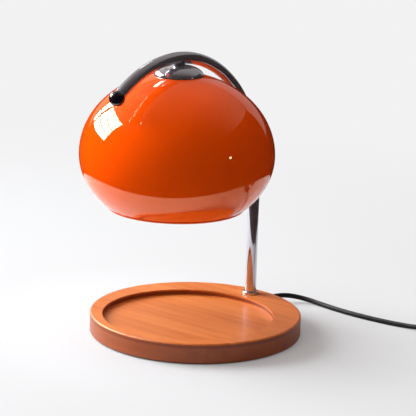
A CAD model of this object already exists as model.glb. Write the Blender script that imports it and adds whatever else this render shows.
import math

import bmesh
import bpy
from mathutils import Matrix, Vector


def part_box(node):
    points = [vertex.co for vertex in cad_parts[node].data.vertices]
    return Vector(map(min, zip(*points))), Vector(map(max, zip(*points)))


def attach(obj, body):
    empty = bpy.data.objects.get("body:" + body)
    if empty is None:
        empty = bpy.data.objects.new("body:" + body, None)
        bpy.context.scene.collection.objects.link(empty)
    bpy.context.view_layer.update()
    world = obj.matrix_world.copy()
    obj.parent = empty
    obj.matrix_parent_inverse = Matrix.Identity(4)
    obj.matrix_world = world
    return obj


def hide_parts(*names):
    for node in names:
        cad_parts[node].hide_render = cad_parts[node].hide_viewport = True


# Candle warmer lamp: orange enamelled shade under a chrome arch, on a round wooden base.

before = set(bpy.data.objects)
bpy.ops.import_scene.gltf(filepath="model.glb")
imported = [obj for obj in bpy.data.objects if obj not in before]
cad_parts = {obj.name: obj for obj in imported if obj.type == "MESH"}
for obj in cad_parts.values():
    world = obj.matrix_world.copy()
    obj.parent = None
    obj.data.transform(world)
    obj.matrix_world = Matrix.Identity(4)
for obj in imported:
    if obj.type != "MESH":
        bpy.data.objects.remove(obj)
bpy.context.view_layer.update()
MM = 0.001


# Sizes in millimetres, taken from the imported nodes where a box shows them. Y runs from the front to the pole.

def low_high(node):
    low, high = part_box(node)
    return [v / MM for v in low], [v / MM for v in high]


base_low, base_high = low_high("base_board")
BASE_RADIUS = (base_high[0] - base_low[0]) / 2
BASE_TOP = base_high[2]

TUBE_RADIUS, TUBE_FOOT, TUBE_SIDES = 5.5, 15.0, 48
ARCH_RADIUS, ARCH_HEIGHT, ARCH_SWEEP, ARCH_STEPS = 124.0, 143.5, 126.2, 110
POLE_Y = 84.0
ARCH_Y = POLE_Y - ARCH_RADIUS
COLLAR_RADIUS, COLLAR_HEIGHT, COLLAR_ROUND = 7.8, 2.8, 0.9
BALL_RADIUS, BALL_SEAT = 7.2, 4.6

HEAD_Y = -33.1
HOLE_RADIUS = 4.06
shade_low, shade_high = low_high("shade_shell")
SHADE_RADIUS = (shade_high[0] - shade_low[0]) / 2
SHADE_RISE, SHADE_FALL, SHADE_OPEN, SHADE_WALL, RIM_BEAD = 75.2, 69.3, 49.3, 1.4, 1.1
BEAD_MEETS, BEAD_STARTS, BEAD_ENDS = 0.975, 40, -215  # share of the way to the rim, then degrees round the bead
SHADE_MIDDLE = shade_low[2] + SHADE_OPEN + RIM_BEAD

cap_low, cap_high = low_high("dome_cap")
CAP_RADIUS, CAP_RISE, CAP_WALL = (cap_high[0] - cap_low[0]) / 2, 10.2, 0.8
CAP_BASE, CAP_TOP = cap_low[2], cap_high[2]

CORD_RADIUS = 2.4
LEAD_POINTS = [(0, 113, 9), (0, 128.5, 8.5), (7.6, 142, 6.8), (21, 149.6, 4.2), (37, 150.2, 2.6), (60, 147, 2.4),
               (88, 145.4, 2.4), (117, 146.8, 2.4), (140, 149.4, 2.7), (156, 149.9, 4.4), (172, 149.5, 6)]
LEAD_Y, LEAD_END_HEIGHT = LEAD_POINTS[-1][1:]
COIL_INNER, COIL_PITCH, COIL_TURNS, COIL_LAYER, TURN_POINTS = 19.2, 6.2, 3, 5.4, 24
COIL_LEAD, COIL_SETTLE, PLUG_LEAD = 40.0, 16.0, 22.0
DROP_AFTER, DROP_HEIGHT, SETTLE_STEP, STRAIGHT_SHARE = 10.0, 4.6, 4.0, 0.4
DIMMER_END = low_high("dimmer_lower")[1][0]
plug_low, plug_high = low_high("plug_body")
PLUG_Y, PLUG_HEIGHT = (plug_low[1] + plug_high[1]) / 2, (plug_high[2] + plug_low[2]) / 2


# Camera, at the place and angle of the photograph

CAMERA_PLACE = (1.1482, -1.4058, 0.5807)
CAMERA_AZIMUTH, CAMERA_PITCH, CAMERA_ROLL = 38.957, 14.202, 1.66
LENS, SENSOR = 173.1, 36.0


def make_camera():
    azimuth, pitch, roll = (math.radians(a) for a in (CAMERA_AZIMUTH, CAMERA_PITCH, CAMERA_ROLL))
    right = Vector((math.cos(azimuth), math.sin(azimuth), 0))
    back = Vector((math.sin(azimuth) * math.cos(pitch), -math.cos(azimuth) * math.cos(pitch), math.sin(pitch)))
    up = back.cross(right)
    across = right * math.cos(roll) + up * math.sin(roll)
    over = up * math.cos(roll) - right * math.sin(roll)
    data = bpy.data.cameras.new("camera")
    data.lens, data.sensor_width = LENS, SENSOR
    data.clip_end = 50
    camera = bpy.data.objects.new("camera", data)
    bpy.context.scene.collection.objects.link(camera)
    turn = Matrix((across, over, back)).transposed().to_4x4()
    camera.matrix_world = Matrix.Translation(CAMERA_PLACE) @ turn
    bpy.context.scene.camera = camera


make_camera()


# Shader maths

class Wire:
    """A node's output, with the operators that make Math nodes of it."""

    def __init__(self, shader, socket):
        self.shader, self.socket = shader, socket

    def math(self, operation, *others):
        return self.shader.node("ShaderNodeMath", {"operation": operation}, self, *others)

    def __add__(self, other):
        return self.math("ADD", other)

    __radd__ = __add__

    def __mul__(self, other):
        return self.math("MULTIPLY", other)

    __rmul__ = __mul__


class Shader:
    """A material or a world, and the nodes in it."""

    def __init__(self, owner):
        self.owner = owner
        owner.use_nodes = True
        self.tree = owner.node_tree
        self.tree.nodes.clear()

    def node(self, kind, settings, *values, out=0, **named):
        made = self.tree.nodes.new(kind)
        for name, value in settings.items():
            if name == "stops":
                set_stops(made.color_ramp, value)
            else:
                setattr(made, name, value)
        inputs = [(s, v) for s, v in zip(made.inputs, values)]
        inputs += [(made.inputs[name.replace("_", " ")], value) for name, value in named.items()]
        for socket, value in inputs:
            if isinstance(value, Wire):
                self.tree.links.new(value.socket, socket)
            else:
                socket.default_value = value
        return Wire(self, made.outputs[out])

    def between(self, value, start, end, low=0.0, high=1.0, **settings):
        """A value's way from start to end, as a number from low to high."""
        return self.node("ShaderNodeMapRange", settings, value, start, end, low, high)

    def coordinates(self, scale=(1, 1, 1), turn=0.0):
        place = self.node("ShaderNodeTexCoord", {}, out=3)
        return self.node("ShaderNodeMapping", {}, place, (0, 0, 0), (0, 0, math.radians(turn)), scale)

    def noise(self, vector, scale, detail=4.0, rough=0.5):
        return self.node("ShaderNodeTexNoise", {}, Vector=vector, Scale=scale, Detail=detail, Roughness=rough)

    def ramp(self, value, *stops):
        return self.node("ShaderNodeValToRGB", {"stops": stops}, value)

    def mixed(self, share, one, other):
        made = self.tree.nodes.new("ShaderNodeMix")
        made.data_type = "RGBA"
        for index, value in ((0, share), (6, one), (7, other)):
            if isinstance(value, Wire):
                self.tree.links.new(value.socket, made.inputs[index])
            else:
                made.inputs[index].default_value = value
        return Wire(self, made.outputs[2])

    def bump(self, height, strength, distance=0.001):
        return self.node("ShaderNodeBump", {}, Strength=strength, Distance=distance, Height=height)

    def surface(self, **values):
        shaded = self.node("ShaderNodeBsdfPrincipled", {}, **values)
        return self.output(shaded)

    def output(self, shaded):
        end = self.tree.nodes.new("ShaderNodeOutputMaterial")
        self.tree.links.new(shaded.socket, end.inputs[0])
        return self.owner


def set_stops(ramp, stops):
    while len(ramp.elements) < len(stops):
        ramp.elements.new(0.5)
    for element, (place, colour) in zip(ramp.elements, stops):
        element.position, element.color = place, colour


def paint(red, green, blue):
    """A colour given as it looks on a screen, 0 to 255, as the linear one that a shader takes."""
    return tuple((v / 255 / 12.92 if v < 11 else ((v / 255 + 0.055) / 1.055) ** 2.4) for v in (red, green, blue)) + (1,)


def new_material(name):
    return Shader(bpy.data.materials.new(name))


# Finishes. Heights and widths on the wood are measured in from its top face and its edge.

CHROME_VEIL = 0.1
GRAIN_LAY = 39.0
EDGE_STARTS, EDGE_FULL, EDGE_STAIN = 0.9, 2.0, 0.68
RIM_STARTS, RIM_FULL = 3.0, 1.5
WALL_STARTS, WALL_FULL, WALL_STAIN = 4.9, 4.5, 0.88


def orange_enamel():
    m = new_material("orange_enamel")
    place = m.coordinates()
    flow = m.noise(place, 9.0, 2.0)
    tone = m.mixed(flow, paint(240, 80, 3), paint(232, 72, 2))
    orange_peel = m.noise(place, 260.0, 2.0)
    return m.surface(Base_Color=tone, Roughness=0.035, IOR=2.0, Specular_IOR_Level=0.8,
                     Specular_Tint=(1.0, 0.52, 0.24, 1), Coat_Weight=0.35, Coat_Roughness=0.01, Coat_IOR=1.5,
                     Normal=m.bump(orange_peel, 0.012, 0.0004))


def inner_enamel():
    m = new_material("inner_enamel")
    haze = m.noise(m.coordinates(), 30.0)
    return m.surface(Base_Color=m.mixed(haze, paint(238, 234, 224), paint(228, 223, 212)), Roughness=0.35,
                     Coat_Weight=0.4, Coat_Roughness=0.15)


def chrome():
    """A mirror with a tenth of plain grey over it, which lifts what would reflect black."""
    m = new_material("chrome")
    smear = m.noise(m.coordinates(), 40.0, 3.0)
    colour = m.mixed(smear, paint(214, 212, 222), paint(205, 203, 212))
    mirror = m.node("ShaderNodeBsdfPrincipled", {}, Base_Color=colour, Metallic=1.0, Roughness=smear * 0.03 + 0.03)
    veil = m.node("ShaderNodeBsdfPrincipled", {}, Base_Color=colour, Metallic=0.0, Roughness=0.42)
    return m.output(m.node("ShaderNodeMixShader", {}, CHROME_VEIL, mirror, veil))


def plain_steel():
    m = new_material("plain_steel")
    grain = m.noise(m.coordinates((1, 1, 12)), 400.0)
    return m.surface(Base_Color=m.mixed(grain, paint(178, 180, 184), paint(150, 152, 158)), Metallic=1.0,
                     Roughness=grain * 0.2 + 0.28)


def brass():
    m = new_material("brass")
    grain = m.noise(m.coordinates(), 300.0)
    return m.surface(Base_Color=m.mixed(grain, paint(205, 178, 120), paint(188, 160, 104)), Metallic=1.0,
                     Roughness=grain * 0.15 + 0.2)


def varnished_wood():
    """Orange-brown wood with a darker stain down its edge and on the wall of the well."""
    m = new_material("varnished_wood")
    broad = m.noise(m.coordinates((4, 26, 26), -GRAIN_LAY), 1.0, 3.0, 0.6)
    bands = m.noise(m.coordinates((5, 150, 150), -GRAIN_LAY), 1.0, 4.0, 0.6)
    pores = m.noise(m.coordinates((24, 900, 900), -GRAIN_LAY), 1.0, 2.0, 0.7)
    tone = m.ramp(broad * 0.45 + bands * 0.55, (0.3, paint(170, 84, 34)), (0.5, paint(198, 108, 47)),
                  (0.72, paint(215, 129, 62)))
    dark = m.ramp(pores, (0.30, (1, 1, 1, 1)), (0.42, (0, 0, 0, 1)))
    colour = m.mixed(dark * 0.3, tone, paint(128, 60, 28))
    height = m.node("ShaderNodeSeparateXYZ", {}, m.coordinates(), out=2)
    from_middle = m.node("ShaderNodeVectorMath", {"operation": "LENGTH"}, m.coordinates((1, 1, 0)), out=1)
    side = m.between(height, (BASE_TOP - EDGE_STARTS) * MM, (BASE_TOP - EDGE_FULL) * MM)
    rim = m.between(from_middle, (BASE_RADIUS - RIM_STARTS) * MM, (BASE_RADIUS - RIM_FULL) * MM)
    well_wall = m.between(height, (BASE_TOP - WALL_STARTS) * MM, (BASE_TOP - WALL_FULL) * MM)
    stain = side * (rim * EDGE_STAIN).math("MAXIMUM", well_wall * WALL_STAIN)
    colour = m.mixed(stain, colour, paint(112, 40, 16))
    return m.surface(Base_Color=colour, Roughness=bands * 0.12 + 0.34, Specular_IOR_Level=0.35, Coat_Weight=0.16,
                     Coat_Roughness=0.16, Normal=m.bump(pores * 0.5 + bands * 0.5, 0.12, 0.0006))


def black_gloss():
    m = new_material("black_gloss")
    haze = m.noise(m.coordinates(), 80.0)
    return m.surface(Base_Color=m.mixed(haze, paint(17, 11, 17), paint(22, 16, 22)), Roughness=0.18, Coat_Weight=1.0,
                     Coat_Roughness=0.04)


def black_plastic():
    m = new_material("black_plastic")
    grain = m.noise(m.coordinates(), 1400.0, 2.0)
    return m.surface(Base_Color=m.mixed(grain, paint(26, 25, 27), paint(34, 33, 35)), Roughness=grain * 0.12 + 0.42,
                     Normal=m.bump(grain, 0.12, 0.0003))


def cord_jacket():
    m = new_material("cord_jacket")
    grain = m.noise(m.coordinates(), 500.0, 2.0)
    return m.surface(Base_Color=m.mixed(grain, paint(12, 8, 12), paint(18, 13, 17)), Roughness=grain * 0.1 + 0.45,
                     Specular_IOR_Level=0.3)


def foam():
    m = new_material("foam")
    cells = m.noise(m.coordinates(), 900.0, 2.0)
    return m.surface(Base_Color=m.mixed(cells, paint(30, 29, 30), paint(46, 45, 46)), Roughness=0.85,
                     Normal=m.bump(cells, 0.5, 0.0004))


def ceramic():
    m = new_material("ceramic")
    speck = m.noise(m.coordinates(), 500.0)
    return m.surface(Base_Color=m.mixed(speck, paint(236, 232, 222), paint(222, 217, 205)), Roughness=0.55,
                     Normal=m.bump(speck, 0.08, 0.0003))


def bulb_glass():
    m = new_material("bulb_glass")
    haze = m.noise(m.coordinates(), 60.0)
    return m.surface(Base_Color=m.mixed(haze, paint(222, 222, 218), paint(205, 206, 204)), Metallic=0.65,
                     Roughness=haze * 0.1 + 0.14)


# Mesh making

def finished(name, bm, body, material, crease=32.0, replaces=()):
    """The bmesh as a piece that rides on a body, smooth but for its sharp edges."""
    for face in bm.faces:
        face.smooth = True
    for edge in bm.edges:
        edge.smooth = len(edge.link_faces) == 2 and edge.calc_face_angle() < math.radians(crease)
    mesh = bpy.data.meshes.new(name)
    bmesh.ops.scale(bm, vec=(MM, MM, MM), verts=bm.verts)
    bm.to_mesh(mesh)
    bm.free()
    piece = bpy.data.objects.new(name, mesh)
    bpy.context.scene.collection.objects.link(piece)
    for one in material if isinstance(material, (list, tuple)) else [material]:
        mesh.materials.append(one)
    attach(piece, body)
    if replaces:
        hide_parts(*replaces)
    return piece


def lathe(outline, centre=(0, 0), steps=160):
    """A turned form about an upright axis, from its half outline of radii and heights."""
    bm = bmesh.new()
    verts = [bm.verts.new((centre[0] + radius, centre[1], height)) for radius, height in outline]
    edges = [bm.edges.new(pair) for pair in zip(verts, verts[1:])]
    bmesh.ops.spin(bm, geom=verts + edges, cent=(centre[0], centre[1], 0), axis=(0, 0, 1), angle=2 * math.pi,
                   steps=steps, use_merge=True)
    bmesh.ops.remove_doubles(bm, verts=bm.verts, dist=0.001)
    bmesh.ops.recalc_face_normals(bm, faces=bm.faces)
    return bm


def arc(centre, radius, start, end, count):
    """Points along an arc or, with two radii, an elliptical one. Angles in degrees."""
    across, along = radius if isinstance(radius, tuple) else (radius, radius)
    angles = [math.radians(start + (end - start) * i / count) for i in range(count + 1)]
    return [(centre[0] + across * math.cos(a), centre[1] + along * math.sin(a)) for a in angles]


# Pieces

def half_outline(centre, across, along, start, end, count):
    """Points along an elliptical arc round a middle on the axis, at the height given."""
    return arc((0, centre), (across, along), start, end, count)


def shade():
    """The spun shade: glossy outside, pale inside, its rim rolled to a bead."""
    hole = math.degrees(math.acos(HOLE_RADIUS / SHADE_RADIUS))
    rim = -math.degrees(math.asin(SHADE_OPEN / SHADE_FALL))
    rim_radius = SHADE_RADIUS * math.cos(math.radians(rim)) - SHADE_WALL / 2
    inner, inner_rise, inner_fall = (v - SHADE_WALL for v in (SHADE_RADIUS, SHADE_RISE, SHADE_FALL))
    inner_rim = -math.degrees(math.asin((SHADE_OPEN - RIM_BEAD) / inner_fall))
    outline = half_outline(SHADE_MIDDLE, SHADE_RADIUS, SHADE_RISE, hole, 0, 48)
    outline += half_outline(SHADE_MIDDLE, SHADE_RADIUS, SHADE_FALL, 0, rim * BEAD_MEETS, 30)[1:]
    outline += arc((rim_radius, SHADE_MIDDLE - SHADE_OPEN), RIM_BEAD, BEAD_STARTS, BEAD_ENDS, 14)
    outline += half_outline(SHADE_MIDDLE, inner, inner_fall, inner_rim, 0, 24)
    outline += half_outline(SHADE_MIDDLE, inner, inner_rise, 0, hole, 40)[1:]
    bm = lathe(outline + outline[:1], (0, HEAD_Y), 224)
    piece = finished("shade_skin", bm, "shade", [orange_enamel(), inner_enamel()],
                     replaces=["shade_shell"])
    middle = Vector((0, HEAD_Y, SHADE_MIDDLE)) * MM
    above_bead = (SHADE_MIDDLE - SHADE_OPEN + RIM_BEAD) * MM
    for face in piece.data.polygons:
        if face.normal.dot(face.center - middle) < 0 and face.center.z > above_bead:
            face.material_index = 1
    return piece


def dome_cap(metal):
    """The domed cap on top of the shade, with a flat land round its hole."""
    land = math.degrees(math.asin((CAP_TOP - CAP_BASE) / CAP_RISE))
    inner, inner_rise = CAP_RADIUS - CAP_WALL, CAP_RISE - CAP_WALL
    inner_land = math.degrees(math.asin((CAP_TOP - CAP_WALL - CAP_BASE) / inner_rise))
    outline = [(HOLE_RADIUS, CAP_TOP)]
    outline += half_outline(CAP_BASE, CAP_RADIUS, CAP_RISE, land, 0, 28)
    outline += half_outline(CAP_BASE, inner, inner_rise, 0, inner_land, 20)
    outline += [(HOLE_RADIUS, CAP_TOP - CAP_WALL), (HOLE_RADIUS, CAP_TOP)]
    return finished("cap_skin", lathe(outline, (0, HEAD_Y), 128), "shade", metal, replaces=["dome_cap"])


def tube(metal):
    """The pole and the arch, bent from one tube: a circle drawn up the pole and spun round the arch."""
    bm = bmesh.new()
    foot = bmesh.ops.create_circle(bm, cap_ends=True, radius=TUBE_RADIUS, segments=TUBE_SIDES,
                                   matrix=Matrix.Translation((0, POLE_Y, TUBE_FOOT)))["verts"]
    face = foot[0].link_faces[0]
    raised = bmesh.ops.extrude_face_region(bm, geom=[face], use_keep_orig=True)["geom"]
    verts = [v for v in raised if isinstance(v, bmesh.types.BMVert)]
    bmesh.ops.translate(bm, vec=(0, 0, ARCH_HEIGHT - TUBE_FOOT), verts=verts)
    top = [f for f in raised if isinstance(f, bmesh.types.BMFace)]
    bmesh.ops.spin(bm, geom=top, cent=(0, ARCH_Y, ARCH_HEIGHT), axis=(1, 0, 0),
                   angle=math.radians(ARCH_SWEEP), steps=ARCH_STEPS, use_merge=False)
    inner = [f for f in bm.faces if len(f.verts) == TUBE_SIDES and all(len(e.link_faces) > 2 for e in f.edges)]
    bmesh.ops.delete(bm, geom=inner, context="FACES_ONLY")
    bmesh.ops.recalc_face_normals(bm, faces=bm.faces)
    return finished("tube_skin", bm, "stand", metal, replaces=["arch_tube"])


def collar(metal):
    """The rounded ring round the tube's foot."""
    outline = [(TUBE_RADIUS, BASE_TOP), (COLLAR_RADIUS, BASE_TOP)]
    outline += arc((COLLAR_RADIUS - COLLAR_ROUND, BASE_TOP + COLLAR_HEIGHT - COLLAR_ROUND), COLLAR_ROUND, 0, 90, 8)
    outline += [(TUBE_RADIUS, BASE_TOP + COLLAR_HEIGHT), (TUBE_RADIUS, BASE_TOP)]
    return finished("collar_skin", lathe(outline, (0, POLE_Y), 96), "stand", metal,
                    replaces=["pole_collar"])


def ball():
    """The ball, set on the tube's end along the line that the tube points."""
    sweep = math.radians(ARCH_SWEEP)
    place = (0, ARCH_Y + ARCH_RADIUS * math.cos(sweep) - BALL_SEAT * math.sin(sweep),
             ARCH_HEIGHT + ARCH_RADIUS * math.sin(sweep) + BALL_SEAT * math.cos(sweep))
    bm = bmesh.new()
    bmesh.ops.create_uvsphere(bm, u_segments=96, v_segments=48, radius=BALL_RADIUS, matrix=Matrix.Translation(place))
    return finished("ball_skin", bm, "stand", black_gloss(), replaces=["ball_finial"])


def cord_curve(name, points, material, node):
    """A round cord along a smooth curve that follows its control points."""
    data = bpy.data.curves.new(name, "CURVE")
    data.dimensions = "3D"
    data.resolution_u, data.bevel_resolution = 6, 7
    data.bevel_depth = CORD_RADIUS * MM
    data.use_fill_caps = True
    line = data.splines.new("NURBS")
    line.points.add(len(points) - 1)
    for spot, (x, y, z) in zip(line.points, points):
        spot.co = (x * MM, y * MM, z * MM, 1)
    line.order_u = 3
    line.use_endpoint_u = True
    data.materials.append(material)
    piece = bpy.data.objects.new(name, data)
    bpy.context.scene.collection.objects.link(piece)
    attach(piece, "stand")
    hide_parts(node)
    return piece


def coil_points():
    """The put-away turns: along the table from the dimmer, in, up half a turn, out again, and on to the plug."""
    middle = (DIMMER_END + COIL_LEAD, LEAD_Y + COIL_INNER + COIL_PITCH * COIL_TURNS)
    # A smooth curve cuts its control points' corners, so on a turn they stand a little further out
    fatten = 1 / math.cos(math.pi / TURN_POINTS) ** 0.75
    points = [(DIMMER_END, LEAD_Y, LEAD_END_HEIGHT),
              (DIMMER_END + DROP_AFTER, LEAD_Y, DROP_HEIGHT),
              (middle[0] - COIL_SETTLE - SETTLE_STEP, LEAD_Y, CORD_RADIUS),
              (middle[0] - COIL_SETTLE / 2, LEAD_Y, CORD_RADIUS)]
    inward = TURN_POINTS * COIL_TURNS
    crossing = TURN_POINTS // 2
    for step in range(2 * inward + crossing + 1):
        if step <= inward:
            turns_out, height = (inward - step) / TURN_POINTS, 0.0
        else:
            share = min((step - inward) / crossing, 1.0)
            turns_out = max(step - inward - crossing, 0) / TURN_POINTS
            height = COIL_LAYER * share * share * (3 - 2 * share)
        radius = (COIL_INNER + COIL_PITCH * turns_out) * fatten
        angle = 2 * math.pi * step / TURN_POINTS - math.pi / 2
        points.append((middle[0] + radius * math.cos(angle), middle[1] + radius * math.sin(angle),
                       CORD_RADIUS + height))
    last = points[-1]
    points += [(last[0] - PLUG_LEAD * STRAIGHT_SHARE, last[1], last[2]), (last[0] - PLUG_LEAD, PLUG_Y, PLUG_HEIGHT)]
    return points


def cords():
    """The lead from the base to the dimmer, and the rest of the cord wound up on the table."""
    jacket = cord_jacket()
    lead = cord_curve("lead_skin", LEAD_POINTS, jacket, "mains_lead")
    coil = cord_curve("coil_skin", coil_points(), jacket, "cord_coil")


def dress(finishes):
    """Gives each shown CAD node its finish."""
    for material, names in finishes:
        for name in names:
            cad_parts[name].data.materials[0] = material


metal = chrome()
steel = plain_steel()
plastic = black_plastic()
dress([(varnished_wood(), ["base_board"]), (foam(), ["foam_pad"]), (metal, ["hanger_boss"]),
       (steel, ["cover_screws", "pole_insert", "pole_washer", "pole_nut", "finial_stud", "hanger_nipple",
                "hanger_washer", "hanger_nut", "holder_bridge", "bridge_screws"]),
       (brass(), ["plug_pins", "bulb_pins"]), (ceramic(), ["lamp_holder"]), (bulb_glass(), ["bulb_reflector"]),
       (plastic, ["base_cover", "strain_relief", "dimmer_lower", "dimmer_upper", "dimmer_wheel", "plug_body"])])
shade()
dome_cap(metal)
tube(metal)
collar(metal)
ball()
cords()


# Studio: a round pale table, daylight from the left, a dim room round the camera.
# Directions are as the camera sees them: across to the right, up, and toward the camera.

BACKDROP_COLOUR = (242, 242, 243)
TABLE_COLOUR = (188, 191, 194)
ROOM_COLOUR = (84, 74, 70)
SHADE_COLOUR = (26, 22, 20)
TABLE_MIDDLE, TABLE_RADIUS = (0.0, -0.16), 0.364
TABLE_EDGE_SOFT, TABLE_SHEET = 0.01, 8.0
SHADOW_NEAR, SHADOW_FAR, SHADOW_END = 0.1, 0.26, 1.0
FADE_NEAR, FADE_FAR = 0.18, 0.68  # how much of the table is already backdrop, at SHADOW_NEAR and SHADOW_FAR
CEILING_UP, CEILING_SIDE, CEILING_BACK, CEILING_FRONT = 1.3, 1.8, -2.2, 1.6
CEILING_BRIGHT, CEILING_DIM = (140, 135, 132), (38, 30, 24)
CEILING_FADES = (-1.0, 0.9)
CARD_DISTANCE = 1.6
LOOK_FROM = Vector((0, -0.09, 0.21))
LIGHTS_AIM = Vector((0, -0.03, 0.1))
NOWHERE = Vector((0, 0, 0))

# Each light: direction, distance, width, height, level and colour
LIGHTS = {
    "window_light": ((-0.83, 0.46, -0.28), 1.5, 1.2, 0.9, 2.7, (1, 1, 1)),
    "room_light": ((-0.3, 0.94, 0.1), 1.8, 1.8, 1.8, 0.78, (1, 1, 1)),
    "right_light": ((0.8, 0.5, -0.2), 1.6, 1.0, 1.0, 0.2, (1.0, 0.72, 0.58)),
    "front_light": ((-0.6, 0.35, 0.75), 1.8, 1.0, 1.0, 0.14, (1.0, 0.85, 0.75)),
}

WARM = (1.0, 0.82, 0.62, 1)

# Each card: the corners' directions and its strength, then its rows and columns of panes, the gap between them
# and its colour
CARDS = {
    "window": ([(-1, 0.26, -2.2), (-1, 0.24, -0.1), (-1, 1.35, 0.1), (-1, 2.8, -1.6)], 18.0, 9, 2, 0.14),
    "far_beam": ([(-1.6, 1.25, -0.8), (1.6, 1.25, -0.8), (1.6, 1.25, -0.75), (-1.6, 1.25, -0.75)], 9.0),
    "low_beam": ([(-1.6, 1.2, -1.7), (1.6, 1.2, -1.7), (1.6, 1.2, -1.58), (-1.6, 1.2, -1.58)], 6.0),
    "blind_edge": ([(-0.27, 0.86, -0.44), (-0.57, 0.82, 0.0), (-0.54, 0.85, 0.0), (-0.24, 0.89, -0.43)], 12.0),
    "blind_gap": ([(-0.28, 0.92, -0.3), (-0.59, 0.79, 0.22), (-0.57, 0.81, 0.22), (-0.26, 0.94, -0.3)], 9.0,
                  1, 6, 0.35),
    "top_pane": ([(-0.22, 0.69, -0.69), (-0.12, 0.58, -0.81), (-0.1, 0.61, -0.81), (-0.19, 0.73, -0.68)], 8.0),
    "spark": ([(0.92, 0.12, 0.37), (0.92, 0.12, 0.42), (0.92, 0.16, 0.42), (0.92, 0.16, 0.37)], 10.0),
    "right_wall": ([(0.1, 0.12, -0.93), (0.7, 0.05, -0.75), (0.62, 0.4, -0.72), (0.1, 0.5, -0.85)], 0.35),
    "left_wall": ([(-0.6, 0.05, -0.8), (0.0, 0.05, -1.0), (0.0, 0.45, -0.85), (-0.5, 0.5, -0.8)], 0.6,
                  1, 1, 0, WARM),
}


def way(across, up, toward, distance=1.0, start=LOOK_FROM):
    """A place in metres, from the middle of the shade's front or another start."""
    level_right = Vector((math.cos(math.radians(CAMERA_AZIMUTH)), math.sin(math.radians(CAMERA_AZIMUTH)), 0))
    level_back = Vector((level_right.y, -level_right.x, 0))
    return start + (level_right * across + level_back * toward + Vector((0, 0, up))) * distance


def staged(name, bm, material):
    """A thing of the studio, which isn't part of the object."""
    mesh = bpy.data.meshes.new(name)
    bm.to_mesh(mesh)
    bm.free()
    mesh.materials.append(material)
    thing = bpy.data.objects.new(name, mesh)
    bpy.context.scene.collection.objects.link(thing)
    return thing


def distance_from(m, place, across=0.0, toward=0.0):
    """How far a floor point is from a place on the floor."""
    spot = way(across, 0, toward, 1.0, NOWHERE)
    return m.node("ShaderNodeVectorMath", {"operation": "DISTANCE"}, place, tuple(spot), out=1)


def table():
    """The table top: it fades into the backdrop, and in reflections it ends at its round edge."""
    bm = bmesh.new()
    bmesh.ops.create_circle(bm, cap_ends=True, radius=TABLE_SHEET, segments=64)
    m = new_material("table_top")
    place = m.node("ShaderNodeTexCoord", {}, out=3)
    beyond = m.between(distance_from(m, place, *TABLE_MIDDLE), TABLE_RADIUS, TABLE_RADIUS + TABLE_EDGE_SOFT)
    middle = distance_from(m, place)
    near = m.between(middle, SHADOW_NEAR, SHADOW_FAR, FADE_NEAR, FADE_FAR, interpolation_type="SMOOTHSTEP")
    far = near + m.between(middle, SHADOW_FAR, SHADOW_END, 0.0, 1.0 - FADE_FAR, interpolation_type="SMOOTHSTEP")
    camera_ray = m.node("ShaderNodeLightPath", {}, out=0)
    glossy_ray = m.node("ShaderNodeLightPath", {}, out=3)
    white = m.node("ShaderNodeBsdfDiffuse", {}, paint(*TABLE_COLOUR))
    seen = m.node("ShaderNodeEmission", {}, paint(*BACKDROP_COLOUR), 1.0)
    room = m.node("ShaderNodeEmission", {}, paint(*SHADE_COLOUR), 1.0)
    faded = m.node("ShaderNodeMixShader", {}, camera_ray * far, white, seen)
    return staged("table", bm, m.output(m.node("ShaderNodeMixShader", {}, glossy_ray * beyond, faded, room)))


def reflected_only(thing):
    thing.visible_camera = thing.visible_diffuse = thing.visible_shadow = False


def between(corners, across, along):
    """A place on the sheet that four corners span."""
    low = corners[0].lerp(corners[1], across)
    high = corners[3].lerp(corners[2], across)
    return low.lerp(high, along)


def card(name, corners, strength, rows=1, columns=1, gap=0.0, colour=(1, 1, 1, 1)):
    """A card that only reflections see, between four corners, in panes with gaps between them."""
    corners = [way(*corner, CARD_DISTANCE) for corner in corners]
    bm = bmesh.new()
    for row in range(rows):
        for column in range(columns):
            left, right = (column + gap / 2) / columns, (column + 1 - gap / 2) / columns
            low, high = (row + gap / 2) / rows, (row + 1 - gap / 2) / rows
            bm.faces.new([bm.verts.new(between(corners, across, along))
                          for across, along in ((left, low), (right, low), (right, high), (left, high))])
    m = new_material(name)
    reflected_only(staged(name, bm, m.output(m.node("ShaderNodeEmission", {}, colour, strength))))


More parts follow.
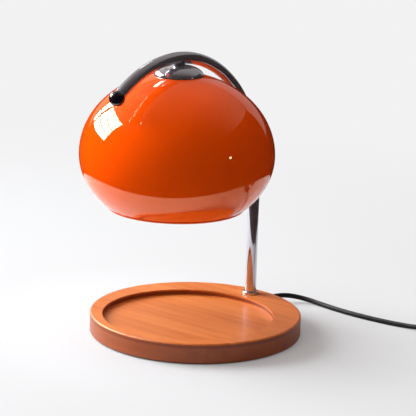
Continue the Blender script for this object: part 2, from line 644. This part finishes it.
def ceiling():
    """A dim ceiling for reflections, brightest far behind the object and nearly gone over the camera."""
    bm = bmesh.new()
    bm.faces.new([bm.verts.new(way(across, CEILING_UP, toward)) for across, toward in
                  ((-CEILING_SIDE, CEILING_BACK), (CEILING_SIDE, CEILING_BACK),
                   (CEILING_SIDE, CEILING_FRONT), (-CEILING_SIDE, CEILING_FRONT))])
    m = new_material("ceiling")
    place = m.node("ShaderNodeTexCoord", {}, out=3)
    forward = tuple(way(0, 0, 1, 1.0, NOWHERE))
    toward = m.node("ShaderNodeVectorMath", {"operation": "DOT_PRODUCT"}, place, forward, out=1)
    share = m.between(toward, *CEILING_FADES, 1.0, 0.0, interpolation_type="SMOOTHSTEP")
    colour = m.mixed(share, paint(*CEILING_DIM), paint(*CEILING_BRIGHT))
    reflected_only(staged("ceiling", bm, m.output(m.node("ShaderNodeEmission", {}, colour, 1.0))))


def soft_light(name, direction, distance, wide, high, level, colour):
    """A soft lamp that reflections don't see. Its level is what it gives a white face turned to it."""
    place = way(*direction, distance / Vector(direction).length, LIGHTS_AIM)
    data = bpy.data.lights.new(name, "AREA")
    data.shape = "RECTANGLE"
    data.size, data.size_y, data.color = wide, high, colour
    data.energy = level * (math.pi * distance) ** 2
    lamp = bpy.data.objects.new(name, data)
    bpy.context.scene.collection.objects.link(lamp)
    lamp.location = place
    lamp.rotation_euler = (place - LIGHTS_AIM).to_track_quat("Z", "Y").to_euler()
    lamp.visible_glossy = False


def backdrop():
    """Grey-white behind the object, dim to what lights it, and darker still in reflections."""
    sky = Shader(bpy.data.worlds.new("room"))
    bpy.context.scene.world = sky.owner
    camera_ray = sky.node("ShaderNodeLightPath", {}, out=0)
    glossy_ray = sky.node("ShaderNodeLightPath", {}, out=3)
    seen, lit, mirrored = (sky.node("ShaderNodeBackground", {}, paint(*colour), 1.0)
                           for colour in (BACKDROP_COLOUR, ROOM_COLOUR, SHADE_COLOUR))
    dim = sky.node("ShaderNodeMixShader", {}, glossy_ray, lit, mirrored)
    end = sky.tree.nodes.new("ShaderNodeOutputWorld")
    sky.tree.links.new(sky.node("ShaderNodeMixShader", {}, camera_ray, dim, seen).socket, end.inputs[0])


def studio():
    backdrop()
    table()
    for name, values in LIGHTS.items():
        soft_light(name, *values)
    for name, values in CARDS.items():
        card(name, *values)
    ceiling()


studio()
bpy.context.scene.view_settings.view_transform = "Standard"
